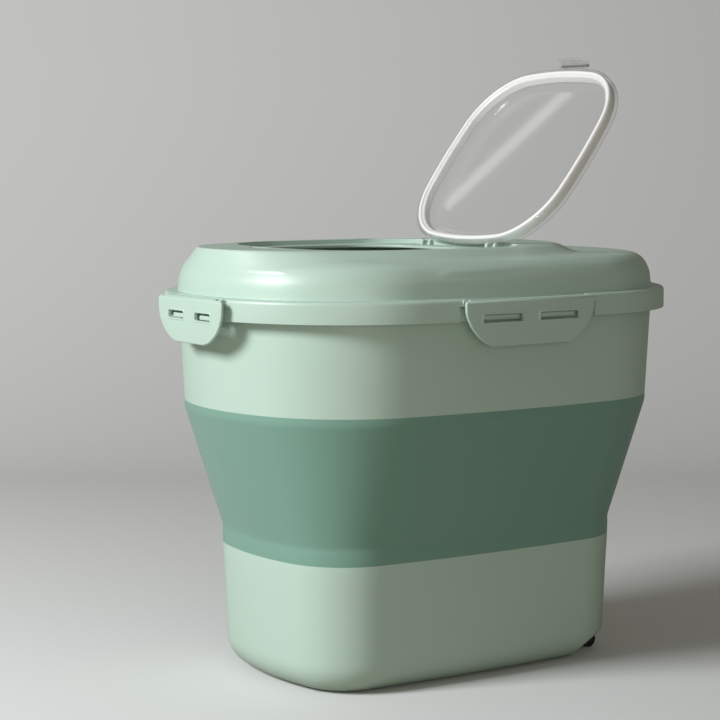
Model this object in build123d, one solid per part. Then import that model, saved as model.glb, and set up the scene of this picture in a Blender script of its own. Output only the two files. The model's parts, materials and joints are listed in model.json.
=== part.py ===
from build123d import *
import math
import os

# Frame: origin on the floor under the middle of the bin, +X to the wheel end, +Z up, mm.
# The lid is on, its four latches are shut and the flip cover stands open.

# Rim of the main lid, the widest outline (half length, half width, corner radius, side bows)
RIM = (200.0, 140.0, 118.5, 4.6, 4.0)
LEDGE_TOP = 289.6
RIM_HEIGHT = 16.1
RIM_BOTTOM = LEDGE_TOP - RIM_HEIGHT
RIM_EDGE_R = 3.0
LID_WALL = 2.5

# Outlines of the body from the floor up
BASE_LOW = (146.2, 89.8, 51.2, 3.7, 3.2)
BASE_TOP = (149.7, 92.8, 54.7, 3.7, 3.2)
NECK_LOW = (182.4, 123.8, 93.7, 4.6, 4.0)
NECK_TOP = (186.2, 127.6, 97.5, 4.6, 4.0)
BASE_EDGE_R = 24.0
BASE_SEAM = 96.3
NECK_SEAM = 206.6
BASE_WALL = 2.6
BASE_FLOOR = 3.0
FOOT_RECESS = 1.0
NECK_WALL = 3.2

# Fold band
BAND_WALL = 2.0
BAND_LAP = 1.5
COLLAR_H = 10.7
COLLAR_TOP = BASE_SEAM + COLLAR_H
CONE_FOOT = COLLAR_TOP + 2.4
HEAD_STRIP = 5.3
CONE_HEAD = NECK_SEAM - HEAD_STRIP
LAP_GAP = 0.3
TONGUE_FOOT = CONE_HEAD + 0.5

# Flange and drip lip of the upper frame
LID_ROOM = 6.1
FLANGE_TOP = LEDGE_TOP - LID_ROOM
FLANGE_T = 3.0
FLANGE_INSET = 3.7
LIP_T = 2.3
LIP_DROP = 9.7
LIP_FOOT = FLANGE_TOP - LIP_DROP

# Crown of the lid: inset from the rim and rise over the ledge, then the raised platform
CROWN_RISE = ((9.9, -2.1), (9.9, 0.0), (10.9, 9.4), (12.3, 14.4), (15.2, 19.9), (19.0, 23.4), (24.0, 25.7), (32.0, 26.6))
CROWN = tuple((d, LEDGE_TOP + rise) for d, rise in CROWN_RISE)
MOUND_LOW = (161.9, 125.7, 104.2, 4.6, 4.0)
MOUND_LOW_X = -23.8
MOUND_LOW_RISE = 18.9
MOUND_LOW_Z = LEDGE_TOP + MOUND_LOW_RISE
MOUND_TOP = (146.8, 99.8, 80.0, 3.0, 14.0)
MOUND_TOP_X = -35.1
MOUND_RISE = 33.5
MOUND_TOP_Z = LEDGE_TOP + MOUND_RISE
CROWN_WALL = 2.6
CROWN_DROP = 2.4

# Seat of the flip cover, sunk into the platform, and the seal's plane
SEAT_DEPTH = 3.7
SEAT_Z = MOUND_TOP_Z - SEAT_DEPTH
SEAT_GAP = 1.3
SEAT_T = 2.5
SEAL_PLANE = SEAT_Z + 0.3

# Flip cover, drawn shut and then swung open about its hinge
COVER = (85.0, 90.5, 56.5, 2.0, 1.2)
COVER_X = -47.9
COVER_OPEN = 127.1
COVER_TOP_RISE = 12.0
COVER_WALL = 2.2
SKIRT_RISE = 0.8
PANEL_T = 2.0
OPENING_INSET = 12.5
RIB_INSET = 5.0
RIB_T = 1.8
SEAL_INSET = 2.4
SEAL_W = 6.4
BEAD_INSET = 3.4
BEAD_W = 4.2

# Hinge of the flip cover, with the trough that its rear edge swings into, and the clip's hinge
RUN_FIT = 0.05
SIDE_GAP = 0.4
HINGE_R = 2.0
HINGE_PIN_R = 1.0
HINGE_X = COVER_X + COVER[0] + 1.4
HINGE_Z = SEAT_Z + HINGE_R + 0.35
KNUCKLE_Y = 42.5
KNUCKLE_W = 6.0
CHEEK_W = 3.2
RECESS_REAR = HINGE_X + 19.0
TROUGH_FRONT = HINGE_X + HINGE_R + 2.0
TROUGH_DEPTH = 2.0
CLIP_X = COVER_X - COVER[0] - 9.5
CLIP_Z = SEAL_PLANE + 9.7
CLIP_HALF = 12.8
CLIP_R = 2.2
CLIP_EAR_W = 3.0
CLIP_DROP = 9.6
CLIP_T = 1.8

# Four lid latches
LATCH_PROUD = 1.5
LATCH_T = 2.3
LATCH_AXIS_INSET = 3.4
LATCH_BARREL_R = 2.1
LATCH_TOP = LEDGE_TOP - 0.3
LATCH_AXIS_Z = LATCH_TOP - LATCH_BARREL_R
LATCH_PIN_R = 0.9
LATCH_H = 33.9
LATCH_TOP_R = 3.0
LATCH_EDGE_R = 1.1
LATCH_CLEAR_R = 3.4
LATCH_END_Z = LATCH_TOP - 0.8
SLOT_Z = LATCH_TOP - 13.8
SLOT_H = 5.5
SLOT_FRAME = 1.3
SLOT_FRAME_T = 0.4
NOTCH_OUT = 20.0
NOTCH_BACK = 30.0
LUG_H = 3.8
LUG_SHORT = 0.2

# Edge of a latch: half width and how far below the top
SIDE_EDGE = ((58.3, 5.8), (57.9, 10.3), (55.7, 15.7), (52.3, 21.1), (47.2, 26.7), (41.4, 31.0), (35.0, LATCH_H))
END_EDGE = ((46.3, 6.3), (45.6, 12.3), (43.8, 17.3), (40.8, 22.0), (36.3, 26.5), (31.0, 30.0), (25.8, 32.4), (20.0, LATCH_H))
SIDE_SHOULDER = 4.3
SIDE_NOTCH_ROOM = 3.2
SIDE_BARREL = SIDE_EDGE[0][0] - SIDE_SHOULDER
SIDE_NOTCH = SIDE_EDGE[0][0] + SIDE_NOTCH_ROOM
SIDE_LATCH = dict(barrel=SIDE_BARREL, notch=SIDE_NOTCH, slot=25.7, slot_w=35.5, corner=2.2, edge=SIDE_EDGE)
END_SHOULDER = 10.3
END_NOTCH_ROOM = 0.2
END_BARREL = END_EDGE[0][0] - END_SHOULDER
END_NOTCH = END_EDGE[0][0] + END_NOTCH_ROOM
END_LATCH = dict(barrel=END_BARREL, notch=END_NOTCH, slot=19.3, slot_w=21.7, corner=3.8, edge=END_EDGE)

# Wheels at the two rear corners and the tipping facet between them
WHEEL_X = 130.4
WHEEL_R = 6.3
WHEEL_OUT = 53.8
WHEEL_W = 7.8
WHEEL_ROOM = 0.7
AXLE_R = 1.5
AXLE_HEAD_R = 2.7
AXLE_HEAD_T = 0.8
AXLE_GRIP = 5.0
HOUSING_T = 2.4
FACET_X = 122.0
FACET_SLOPE = 0.9
CORNER_CUT = (108.0, 58.0)
CORNER_LEAN = (0.5, 0.62, 0.9)
FACET_BACK = 20.0
FACET_REACH = 80.0
CUTTER_REACH = 90.0

# Main lid gasket
GASKET_INSET = 7.5
GASKET_W = 2.5
GASKET_GAP = 0.2
CHANNEL_T = 0.8
CHANNEL_DEPTH = 2.2


def inset(o, d):
    return (o[0] - d, o[1] - d, o[2] - d, o[3], o[4])


def outline(o, z, x=0.0):
    a, b, r, sx, sy = o
    kx = a - r - sx
    ky = b - r - sy
    rx = (ky * ky + sx * sx) / (2 * sx)
    ry = (kx * kx + sy * sy) / (2 * sy)
    nl = (kx / ry, (ry - sy) / ry)
    ns = ((rx - sx) / rx, ky / rx)
    m = math.hypot(nl[0] + ns[0], nl[1] + ns[1])
    p = (kx + r * nl[0], ky + r * nl[1])
    q = (kx + r * ns[0], ky + r * ns[1])
    c = (kx + r * (nl[0] + ns[0]) / m, ky + r * (nl[1] + ns[1]) / m)
    edges = [
        ThreePointArc((-p[0], p[1], 0), (0, b, 0), (p[0], p[1], 0)),
        ThreePointArc((p[0], p[1], 0), (c[0], c[1], 0), (q[0], q[1], 0)),
        ThreePointArc((q[0], q[1], 0), (a, 0, 0), (q[0], -q[1], 0)),
        ThreePointArc((q[0], -q[1], 0), (c[0], -c[1], 0), (p[0], -p[1], 0)),
        ThreePointArc((p[0], -p[1], 0), (0, -b, 0), (-p[0], -p[1], 0)),
        ThreePointArc((-p[0], -p[1], 0), (-c[0], -c[1], 0), (-q[0], -q[1], 0)),
        ThreePointArc((-q[0], -q[1], 0), (-a, 0, 0), (-q[0], q[1], 0)),
        ThreePointArc((-q[0], q[1], 0), (-c[0], c[1], 0), (-p[0], p[1], 0)),
    ]
    return Pos(x, 0, z) * make_face(edges)


def stack(levels, x=0.0):
    return Solid(loft([outline(o, z, x) for o, z in levels], ruled=True).wrapped)


def slab(o, z0, z1, x=0.0):
    return extrude(outline(o, z0, x), amount=z1 - z0)


def ring(o, outer, inner, z0, z1, x=0.0):
    return slab(inset(o, outer), z0, z1, x) - slab(inset(o, inner), z0 - 1, z1 + 1, x)


def block(x0, x1, y0, y1, z0, z1):
    return Pos((x0 + x1) / 2, (y0 + y1) / 2, (z0 + z1) / 2) * Box(abs(x1 - x0), abs(y1 - y0), z1 - z0)


def rod_y(x, y0, y1, z, r):
    return Pos(x, (y0 + y1) / 2, z) * (Rot(90, 0, 0) * Cylinder(r, abs(y1 - y0)))


def only(shape):
    found = shape.solids()
    return max(found, key=lambda s: s.volume)


def mirror_y(shape):
    return mirror(shape, about=Plane.XZ)


# Base tub: rounded bottom edge, tapered wall, tongue under the band, facets and wheel housings
def rounded_foot(o, r, floor, shrink):
    levels = []
    for k in range(7):
        t = math.radians(90.0 * k / 6)
        levels.append((inset(o, shrink + r * (1 - math.sin(t))), floor + r * (1 - math.cos(t))))
    return levels


def facet_prism(lift):
    x0 = FACET_X - lift / FACET_SLOPE - FACET_BACK
    x1 = x0 + FACET_REACH
    low = -FACET_BACK * FACET_SLOPE
    pts = [(x0, low), (x1, low), (x1, low + FACET_REACH * FACET_SLOPE)]
    face = make_face(Polyline([(px, 0, pz) for px, pz in pts], close=True))
    return extrude(face, amount=RIM[0], dir=(0, 1, 0), both=True)


def corner_prism(lift, s):
    way = (CORNER_LEAN[0], s * CORNER_LEAN[1], -CORNER_LEAN[2])
    out = Plane(origin=(CORNER_CUT[0], s * CORNER_CUT[1], 0), z_dir=way)
    return out.offset(-lift) * Box(RIM[0], RIM[0], CUTTER_REACH, align=(Align.CENTER, Align.CENTER, Align.MIN))


def wheel_room(r, y0, y1):
    well = rod_y(WHEEL_X, y0, y1, WHEEL_R, r)
    well += block(WHEEL_X - r, WHEEL_X + r, y0, y1, -5, WHEEL_R)
    return well


def make_base():
    outer = stack(rounded_foot(BASE_LOW, BASE_EDGE_R, 0, 0) + [(BASE_TOP, BASE_SEAM)])
    outer += slab(inset(BASE_TOP, BAND_LAP), BASE_SEAM - 2, COLLAR_TOP)
    outer -= facet_prism(0)
    for s in (1, -1):
        outer -= corner_prism(0, s)
    low = rounded_foot(BASE_LOW, BASE_EDGE_R - BASE_WALL, BASE_FLOOR, BASE_WALL)
    mouth = inset(BASE_TOP, BAND_LAP + 1.6)
    cavity = stack(low + [(inset(BASE_TOP, BASE_WALL), BASE_SEAM - 4), (mouth, BASE_SEAM), (mouth, COLLAR_TOP + 1)])
    cavity -= facet_prism(BASE_FLOOR + 1.0)
    for s in (1, -1):
        cavity -= corner_prism(BASE_WALL + 0.4, s)
    inner_face = WHEEL_OUT - WHEEL_W - WHEEL_ROOM
    for s in (1, -1):
        cavity -= wheel_room(WHEEL_R + WHEEL_ROOM + HOUSING_T, s * CUTTER_REACH, s * (inner_face - AXLE_GRIP - 1.5))
    tub = outer - cavity
    for s in (1, -1):
        tub -= wheel_room(WHEEL_R + WHEEL_ROOM, s * CUTTER_REACH, s * inner_face)
        tub -= rod_y(WHEEL_X, s * (inner_face + 1), s * (inner_face - AXLE_GRIP), WHEEL_R, AXLE_R)
    foot = inset(BASE_LOW, BASE_EDGE_R + 8)
    tub -= slab((foot[0] - 6, foot[1], 16.0, 3.7, 3.2), -1, FOOT_RECESS, -8)
    return only(tub)


def make_wheel():
    y1 = -WHEEL_OUT
    y0 = y1 + WHEEL_W
    wheel = rod_y(WHEEL_X, y0, y1, WHEEL_R, WHEEL_R)
    wheel = chamfer(wheel.edges().filter_by(GeomType.CIRCLE), 0.8)
    wheel -= rod_y(WHEEL_X, y1 - 1, y1 + 0.7, WHEEL_R, 4.3) - rod_y(WHEEL_X, y1 - 2, y1 + 2, WHEEL_R, 3.1)
    wheel -= rod_y(WHEEL_X, y0 + 1, y1 - 1, WHEEL_R, AXLE_R + RUN_FIT)
    return only(wheel)


def make_axle():
    y1 = -WHEEL_OUT - 0.2
    root = -(WHEEL_OUT - WHEEL_W - WHEEL_ROOM - AXLE_GRIP)
    axle = rod_y(WHEEL_X, root, y1, WHEEL_R, AXLE_R)
    axle += rod_y(WHEEL_X, y1, y1 - AXLE_HEAD_T, WHEEL_R, AXLE_HEAD_R)
    return only(axle)


# Fold band: collar on the base, long cone and the strip that laps the upper frame
def make_band():
    outer = stack([(BASE_TOP, BASE_SEAM), (BASE_TOP, CONE_FOOT), (NECK_LOW, CONE_HEAD), (NECK_LOW, NECK_SEAM)])
    lap = inset(BASE_TOP, BAND_LAP)
    head = inset(NECK_LOW, BAND_LAP)
    inner = stack([
        (lap, BASE_SEAM - 1),
        (lap, COLLAR_TOP),
        (inset(BASE_TOP, BAND_WALL), CONE_FOOT + 0.6),
        (inset(NECK_LOW, BAND_WALL), CONE_HEAD),
        (head, CONE_HEAD + 0.3),
        (head, NECK_SEAM + 1),
    ])
    return only(outer - inner)


# Upper frame: tongue behind the strip, tapered wall, flange, lip and the catch lugs
def latch_plane(side):
    return (RIM[1] if side else RIM[0]) + LATCH_PROUD


def across(side, sign, d0, d1, t0, t1, z0, z1):
    # d is the distance out from the middle along the latch's own direction, t runs along the rim
    if side:
        return block(t0, t1, sign * d0, sign * d1, z0, z1)
    return block(sign * d0, sign * d1, t0, t1, z0, z1)


def latch_spots():
    return ((END_LATCH, False, -1), (END_LATCH, False, 1), (SIDE_LATCH, True, -1), (SIDE_LATCH, True, 1))


def make_frame():
    tongue = inset(NECK_LOW, BAND_LAP + LAP_GAP)
    frame = stack([(NECK_LOW, NECK_SEAM + 0.3), (NECK_TOP, FLANGE_TOP)])
    frame += slab(tongue, TONGUE_FOOT, NECK_SEAM + 1)
    frame += slab(inset(RIM, FLANGE_INSET), FLANGE_TOP - FLANGE_T, FLANGE_TOP)
    bore_low = inset(NECK_LOW, NECK_WALL)
    bore_top = inset(NECK_TOP, NECK_WALL)
    frame -= stack([(bore_low, TONGUE_FOOT - 1), (bore_low, NECK_SEAM), (bore_top, FLANGE_TOP + 1)])
    frame += ring(RIM, FLANGE_INSET, FLANGE_INSET + LIP_T, LIP_FOOT, FLANGE_TOP)
    core = slab(inset(RIM, FLANGE_INSET + LIP_T - 0.5), SLOT_Z - 10, SLOT_Z + 10)
    for kind, side, sign in latch_spots():
        tip = latch_plane(side) - LATCH_T - LUG_SHORT
        for s in (-1, 1):
            half = kind["slot_w"] / 2 - 1.2
            low = SLOT_Z - LUG_H / 2 + 0.4
            lug = across(side, sign, tip - 12, tip, s * kind["slot"] - half, s * kind["slot"] + half, low, low + LUG_H)
            frame += lug - core
    return only(frame)


# Main lid: rim, crown, platform with its sunk seat and opening, hinge cheeks, latch notches
def latch_axis(side):
    return (RIM[1] if side else RIM[0]) - LATCH_AXIS_INSET


def along_rod(side, sign, d, t0, t1, z, r):
    length = abs(t1 - t0)
    mid = (t0 + t1) / 2
    if side:
        return Pos(mid, sign * d, z) * (Rot(0, 90, 0) * Cylinder(r, length))
    return Pos(sign * d, mid, z) * (Rot(90, 0, 0) * Cylinder(r, length))


def recess_outline():
    front = COVER_X - COVER[0] - SEAT_GAP
    half = (RECESS_REAR - front) / 2
    return (half, COVER[1] + SEAT_GAP, COVER[2] + SEAT_GAP, COVER[3], COVER[4]), (RECESS_REAR + front) / 2


def make_lid():
    rim = slab(RIM, RIM_BOTTOM, LEDGE_TOP)
    rim = fillet(rim.edges().group_by(Axis.Z)[-1], RIM_EDGE_R)
    lid = rim + stack([(inset(RIM, d), z) for d, z in CROWN])
    mound = loft([outline(MOUND_LOW, MOUND_LOW_Z, MOUND_LOW_X), outline(MOUND_TOP, MOUND_TOP_Z, MOUND_TOP_X)], ruled=True)
    lid += mound
    cavity = slab(inset(RIM, LID_WALL), RIM_BOTTOM - 1, LEDGE_TOP - LID_WALL)
    cavity += stack([(inset(RIM, d + CROWN_WALL), z - CROWN_DROP) for d, z in CROWN])
    low = outline(inset(MOUND_LOW, CROWN_WALL + 2), MOUND_LOW_Z - CROWN_DROP, MOUND_LOW_X)
    top = outline(inset(MOUND_TOP, CROWN_WALL + 2), MOUND_TOP_Z - CROWN_WALL, MOUND_TOP_X)
    cavity += loft([low, top], ruled=True)
    recess, recess_x = recess_outline()
    cavity -= slab(inset(recess, -SEAT_T), SEAT_Z - SEAT_T, MOUND_TOP_Z, recess_x)
    under = slab(inset(recess, -SEAT_T), SEAT_Z - TROUGH_DEPTH - SEAT_T, SEAT_Z, recess_x)
    front = TROUGH_FRONT - SEAT_T
    rear = RECESS_REAR + SEAT_T + 1
    half = recess[1] + 5
    cavity -= under & block(front, rear, -half, half, RIM_BOTTOM, MOUND_TOP_Z)
    cavity -= block(CLIP_X - 6, CLIP_X + 12, -CLIP_HALF - 4, CLIP_HALF + 4, SEAT_Z - SEAT_T, MOUND_TOP_Z)
    lid -= cavity
    lid -= slab(recess, SEAT_Z, MOUND_TOP_Z + 5, recess_x)
    trough_z = SEAT_Z - TROUGH_DEPTH
    trough = slab(recess, trough_z, SEAT_Z + 1, recess_x)
    lid -= trough & block(TROUGH_FRONT, RECESS_REAR + 1, -recess[1], recess[1], trough_z, SEAT_Z + 1)
    lid -= slab(inset(COVER, OPENING_INSET), SEAT_Z - 10, SEAT_Z + 5, COVER_X)
    lid -= block(CLIP_X - 3, CLIP_X + 2.4, -CLIP_HALF - 0.6, CLIP_HALF + 0.6, CLIP_Z - CLIP_DROP - 0.6, MOUND_TOP_Z + 1)
    for s in (1, -1):
        for side in (1, -1):
            y = s * (KNUCKLE_Y + side * (KNUCKLE_W / 2 + SIDE_GAP + CHEEK_W / 2))
            cheek = rod_y(HINGE_X, y - CHEEK_W / 2, y + CHEEK_W / 2, HINGE_Z, HINGE_R)
            cheek += block(HINGE_X - HINGE_R, HINGE_X + HINGE_R, y - CHEEK_W / 2, y + CHEEK_W / 2, SEAT_Z - 0.5, HINGE_Z)
            lid += cheek
        y0 = s * (KNUCKLE_Y - KNUCKLE_W / 2 - SIDE_GAP - CHEEK_W + 0.8)
        y1 = s * (KNUCKLE_Y + KNUCKLE_W / 2 + SIDE_GAP + CHEEK_W - 0.8)
        lid -= rod_y(HINGE_X, y0, y1, HINGE_Z, HINGE_PIN_R)
    for a in (GASKET_INSET - CHANNEL_T, GASKET_INSET + GASKET_W):
        lid += ring(RIM, a, a + CHANNEL_T, LEDGE_TOP - LID_WALL - CHANNEL_DEPTH, LEDGE_TOP - LID_WALL + 0.5)
    for kind, side, sign in latch_spots():
        lid = latch_seat(lid, kind, side, sign)
    return only(lid)


def latch_seat(lid, kind, side, sign):
    d = latch_axis(side)
    bar = kind["barrel"]
    wide = kind["notch"]
    far = d + NOTCH_OUT
    reach_in = d - LATCH_BARREL_R - 0.9
    lid -= across(side, sign, reach_in, far, -bar - SIDE_GAP, bar + SIDE_GAP, RIM_BOTTOM - 1, LEDGE_TOP + 1)
    lid -= across(side, sign, d + 2.2, far, -wide, wide, RIM_BOTTOM - 1, LEDGE_TOP + 1)
    skirt = ring(RIM, -1, LID_WALL + 0.1, RIM_BOTTOM - 1, LATCH_AXIS_Z - 2.9)
    lid -= skirt & across(side, sign, d - NOTCH_BACK, far, -wide, wide, RIM_BOTTOM - 2, LEDGE_TOP)
    for s in (-1, 1):
        t0 = s * (bar + SIDE_GAP)
        t1 = s * (bar + SIDE_GAP + 4.5)
        cheek = along_rod(side, sign, d, t0, t1, LATCH_AXIS_Z, LATCH_BARREL_R)
        low = LATCH_AXIS_Z - LATCH_BARREL_R
        cheek += across(side, sign, d - 3, d, min(t0, t1), max(t0, t1), low, low + 2 * LATCH_BARREL_R)
        lid += cheek
    reach = bar + SIDE_GAP + 3.5
    return lid - along_rod(side, sign, d, -reach, reach, LATCH_AXIS_Z, LATCH_PIN_R)


def make_gasket():
    top = LEDGE_TOP - LID_WALL
    return only(ring(RIM, GASKET_INSET, GASKET_INSET + GASKET_W, FLANGE_TOP + GASKET_GAP, top))


# Latches: flat tongue with two framed slots, hung on a straight barrel along the rim edge
def make_latch(kind, side, sign):
    face_d = latch_plane(side)
    d = latch_axis(side)
    bar = kind["barrel"]
    inward = (0, -sign, 0) if side else (-sign, 0, 0)
    plate = extrude(latch_face(kind, side, sign, face_d), amount=LATCH_T, dir=inward)
    front = [e for e in plate.edges() if on_face(e, side, sign * face_d)]
    plate = fillet([e for e in front if e.center().Z < LATCH_TOP - 0.01], LATCH_EDGE_R)
    plate += across(side, sign, d, face_d - 1.2, -bar, bar, LATCH_AXIS_Z - LATCH_BARREL_R, LATCH_TOP)
    brow = face_d - LATCH_TOP_R
    reach = kind["edge"][0][0] + 1
    corner = across(side, sign, brow, face_d + 1, -reach, reach, LATCH_TOP - LATCH_TOP_R, LATCH_TOP + 1)
    plate -= corner - along_rod(side, sign, brow, -reach, reach, LATCH_TOP - LATCH_TOP_R, LATCH_TOP_R)
    plate += along_rod(side, sign, d, -bar, bar, LATCH_AXIS_Z, LATCH_BARREL_R)
    for s in (-1, 1):
        plate -= along_rod(side, sign, d, s * bar, s * (reach + 1), LATCH_AXIS_Z, LATCH_CLEAR_R)
        plate -= across(side, sign, d - 5, face_d + 1, s * bar, s * (reach + 1), LATCH_END_Z, LATCH_TOP + 1)
        c = s * kind["slot"]
        w = kind["slot_w"] / 2
        h = SLOT_H / 2
        f = SLOT_FRAME
        plate += across(side, sign, face_d - 0.5, face_d + SLOT_FRAME_T, c - w - f, c + w + f, SLOT_Z - h - f, SLOT_Z + h + f)
        plate -= across(side, sign, face_d - 5, face_d + 5, c - w, c + w, SLOT_Z - h, SLOT_Z + h)
    plate -= along_rod(side, sign, d, -bar - 1, bar + 1, LATCH_AXIS_Z, LATCH_PIN_R + RUN_FIT)
    return only(plate)


def latch_face(kind, side, sign, face_d):
    def place(t, z):
        return (t, sign * face_d, z) if side else (sign * face_d, t, z)

    def way(t, z):
        return (t, 0, z) if side else (0, t, z)

    edge = kind["edge"]
    r = kind["corner"]
    end = edge[0][0]
    low = LATCH_TOP - r
    bend = r * (1 - math.sqrt(0.5))
    edges = []
    for s in (1, -1):
        middle = place(s * (end - bend), LATCH_TOP - bend)
        corner = ThreePointArc(place(s * (end - r), LATCH_TOP), middle, place(s * end, low))
        straight = Line(place(s * end, low), place(s * end, LATCH_TOP - edge[0][1]))
        side_edge = Spline([place(s * t, LATCH_TOP - drop) for t, drop in edge], tangents=[way(0, -1), way(-s, -0.15)])
        edges += [corner, straight, side_edge]
    top = Line(edges[0] @ 0, edges[3] @ 0)
    foot = Line(edges[2] @ 1, edges[5] @ 1)
    return make_face(edges + [top, foot])


def on_face(edge, side, level):
    box = edge.bounding_box()
    low, high = (box.min.Y, box.max.Y) if side else (box.min.X, box.max.X)
    return abs(low - level) < 0.01 and abs(high - level) < 0.01


def make_latch_pin(kind, side, sign):
    reach = kind["barrel"] + SIDE_GAP + 3.5
    return only(along_rod(side, sign, latch_axis(side), -reach, reach, LATCH_AXIS_Z, LATCH_PIN_R))


# Flip cover, its seal, clip and pins, all drawn shut and swung open together
def opened(shape):
    return Pos(HINGE_X, 0, HINGE_Z) * (Rot(0, COVER_OPEN, 0) * (Pos(-HINGE_X, 0, -HINGE_Z) * shape))


def make_cover():
    z0 = SEAL_PLANE + SKIRT_RISE
    z1 = SEAL_PLANE + COVER_TOP_RISE
    rise = ((0.3, -3), (1.4, -1), (4.4, 0), (30, 0.9))
    outer = stack([(COVER, z0)] + [(inset(COVER, d), z1 + up) for d, up in rise], COVER_X)
    hollow = stack([
        (inset(COVER, COVER_WALL), z0 - 1),
        (inset(COVER, COVER_WALL + 0.2), z1 - 4),
        (inset(COVER, COVER_WALL + 2.6), z1 - 0.2 - PANEL_T),
        (inset(COVER, 30), z1 + 0.9 - PANEL_T),
    ], COVER_X)
    cover = outer - hollow
    cover += ring(COVER, RIB_INSET, RIB_INSET + RIB_T, SEAL_PLANE + 3.0, z1 - 1.5, COVER_X)
    room = slab(inset(COVER, COVER_WALL), z0 - 5, z1 - 4, COVER_X)
    for s in (1, -1):
        y0 = s * KNUCKLE_Y - KNUCKLE_W / 2
        y1 = s * KNUCKLE_Y + KNUCKLE_W / 2
        arm = rod_y(HINGE_X, y0, y1, HINGE_Z, HINGE_R)
        arm += block(HINGE_X - 8, HINGE_X, y0, y1, HINGE_Z - 1.6, HINGE_Z + HINGE_R)
        cover += arm - room
    for s in (1, -1):
        y0 = s * (CLIP_HALF + SIDE_GAP)
        y1 = s * (CLIP_HALF + SIDE_GAP + CLIP_EAR_W)
        ear = rod_y(CLIP_X, y0, y1, CLIP_Z, CLIP_R + 0.3)
        ear += block(CLIP_X, COVER_X - COVER[0] + 4, y0, y1, CLIP_Z - CLIP_R, CLIP_Z + 1.0)
        cover += ear - room
    for s in (1, -1):
        y0 = s * (KNUCKLE_Y - KNUCKLE_W / 2 - 1)
        y1 = s * (KNUCKLE_Y + KNUCKLE_W / 2 + 1)
        cover -= rod_y(HINGE_X, y0, y1, HINGE_Z, HINGE_PIN_R + RUN_FIT)
    reach = CLIP_HALF + SIDE_GAP + CLIP_EAR_W
    cover -= rod_y(CLIP_X, -reach - 1, reach + 1, CLIP_Z, HINGE_PIN_R)
    return only(opened(cover))


def make_seal():
    top = SEAL_PLANE + COVER_TOP_RISE - 4
    seal = ring(COVER, SEAL_INSET, SEAL_INSET + SEAL_W, SEAL_PLANE + 1.6, top, COVER_X)
    mid = BEAD_INSET + BEAD_W / 2
    for k in range(3):
        grow = BEAD_W / 2 * (0.62, 0.87, 1.0)[k]
        low = SEAL_PLANE + (0.0, 0.4, 0.9)[k]
        seal += ring(COVER, mid - grow, mid + grow, low, SEAL_PLANE + 2.0, COVER_X)
    seal -= ring(COVER, RIB_INSET, RIB_INSET + RIB_T, SEAL_PLANE + 3.0, top + 1, COVER_X)
    return only(opened(seal))


def make_hinge_pin():
    reach = KNUCKLE_W / 2 + SIDE_GAP + CHEEK_W - 0.8
    return only(rod_y(HINGE_X, -KNUCKLE_Y - reach, -KNUCKLE_Y + reach, HINGE_Z, HINGE_PIN_R))


def make_clip():
    clip = rod_y(CLIP_X, -CLIP_HALF, CLIP_HALF, CLIP_Z, CLIP_R)
    clip += block(CLIP_X - CLIP_T / 2, CLIP_X + CLIP_T / 2, -CLIP_HALF, CLIP_HALF, CLIP_Z - CLIP_DROP, CLIP_Z)
    clip += block(CLIP_X, CLIP_X + 1.7, -CLIP_HALF + 3, CLIP_HALF - 3, CLIP_Z - CLIP_DROP, CLIP_Z - CLIP_DROP + 1.6)
    clip += block(CLIP_X - 6.5, CLIP_X, -CLIP_HALF + 2, CLIP_HALF - 2, CLIP_Z + 0.4, CLIP_Z + 1.9)
    clip -= rod_y(CLIP_X, -CLIP_HALF - 1, CLIP_HALF + 1, CLIP_Z, HINGE_PIN_R + RUN_FIT)
    return only(opened(clip))


def make_clip_pin():
    reach = CLIP_HALF + SIDE_GAP + CLIP_EAR_W
    return only(opened(rod_y(CLIP_X, -reach, reach, CLIP_Z, HINGE_PIN_R)))


def save(name, shape):
    shape.label = name
    export_step(shape, "parts/" + name + ".step")
    print(name, "volume %.0f mm3" % shape.volume, "solids", len(shape.solids()))


os.makedirs("parts", exist_ok=True)
save("base_shell", make_base())
save("fold_band", make_band())
save("upper_frame", make_frame())
save("main_lid", make_lid())
save("lid_gasket", make_gasket())
names = ("front_latch", "rear_latch", "right_latch", "left_latch")
for name, (kind, side, sign) in zip(names, latch_spots()):
    save(name, make_latch(kind, side, sign))
    save(name + "_pin", make_latch_pin(kind, side, sign))
save("flip_cover", make_cover())
save("flip_seal", make_seal())
save("flip_clip", make_clip())
save("flip_clip_pin", make_clip_pin())
save("hinge_pin_right", make_hinge_pin())
save("hinge_pin_left", mirror_y(make_hinge_pin()))
save("wheel_right", make_wheel())
save("wheel_left", mirror_y(make_wheel()))
save("axle_right", make_axle())
save("axle_left", mirror_y(make_axle()))
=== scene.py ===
import json
import math

import bmesh
import bpy
import numpy as np
from mathutils import Matrix, Vector

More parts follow.
